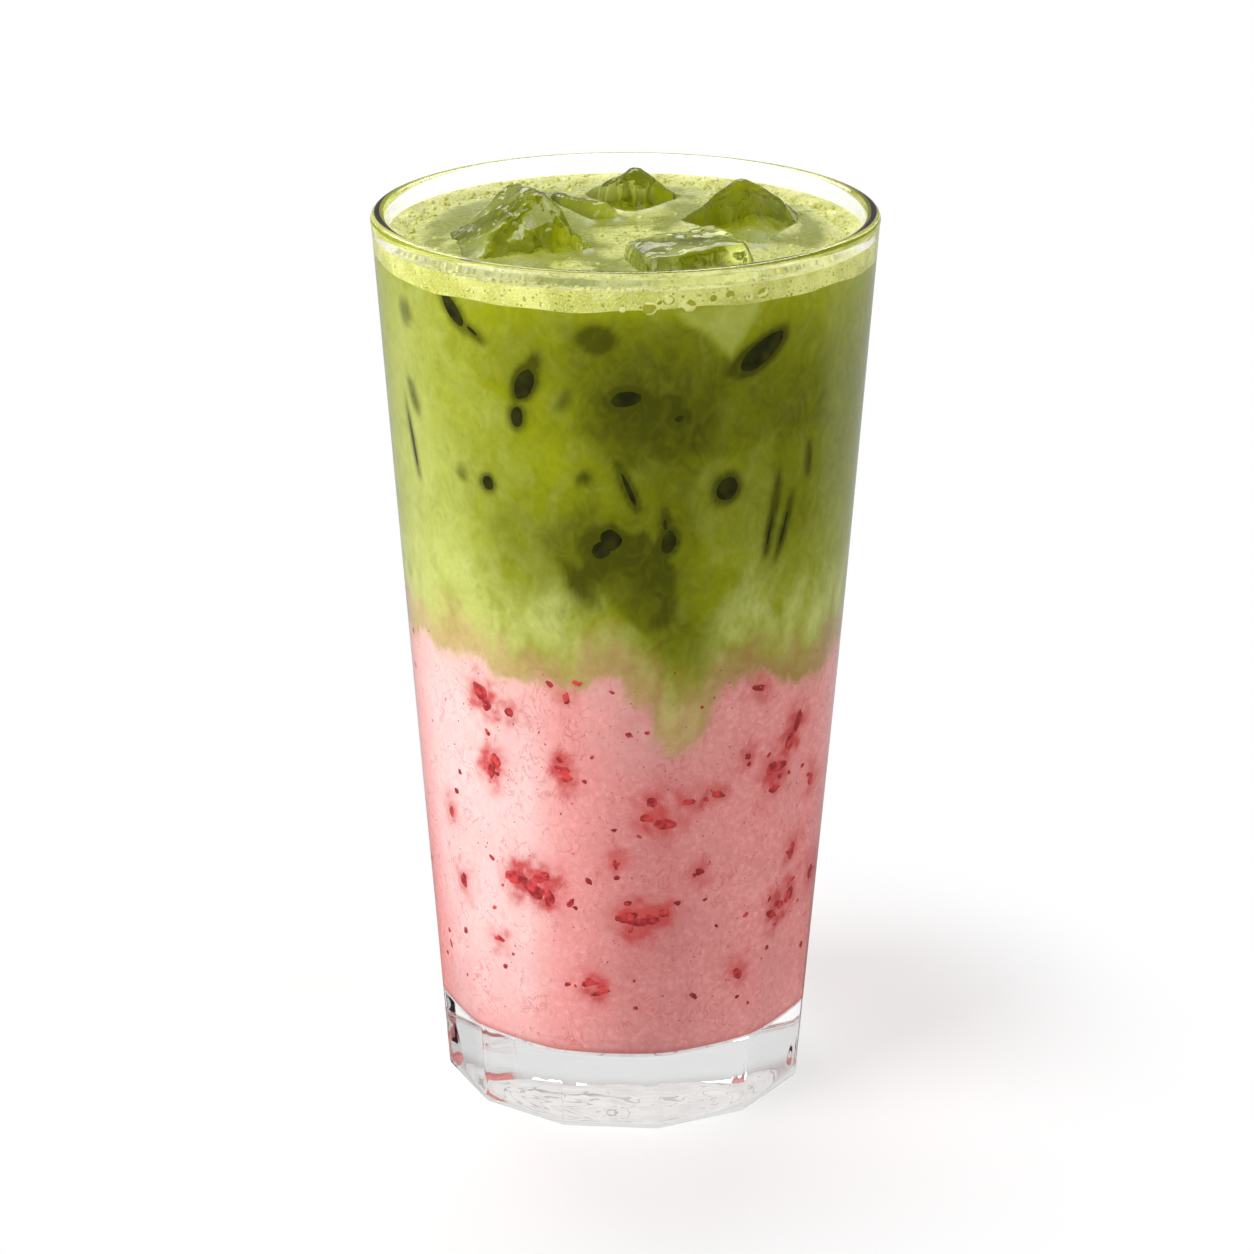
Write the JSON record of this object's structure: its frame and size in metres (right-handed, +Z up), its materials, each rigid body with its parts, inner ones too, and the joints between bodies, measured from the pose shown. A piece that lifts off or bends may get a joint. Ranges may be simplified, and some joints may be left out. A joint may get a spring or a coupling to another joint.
{
  "type": "iced strawberry matcha latte in a glass",
  "caption": "Tall clear panelled tumbler of iced matcha latte: green matcha milk over pink strawberry milk, with froth and floating ice.",
  "frame": {"origin": "on the table, at the middle of the foot of the glass", "axes": "+Z up along the axis of the glass; the front of the drink looks towards -Y, +X to its right"},
  "size_m": [0.0866, 0.0866, 0.1641],
  "materials": {
    "clear_glass": "clear polished pressed glass",
    "pink_milk": "smooth opaque pink milk with strawberry bits",
    "green_milk": "smooth opaque green matcha milk, marbled",
    "froth": "pale green froth of small bubbles",
    "ice": "wet melting clear ice"
  },
  "bodies": {
    "root": {"glass_tumbler": "clear_glass", "strawberry_milk": "pink_milk", "matcha_milk": "green_milk", "foam_ring": "froth", "ice_front_left": "ice", "ice_back": "ice", "ice_right": "ice", "ice_front": "ice", "ice_middle": "ice"}
  },
  "joints": []
}
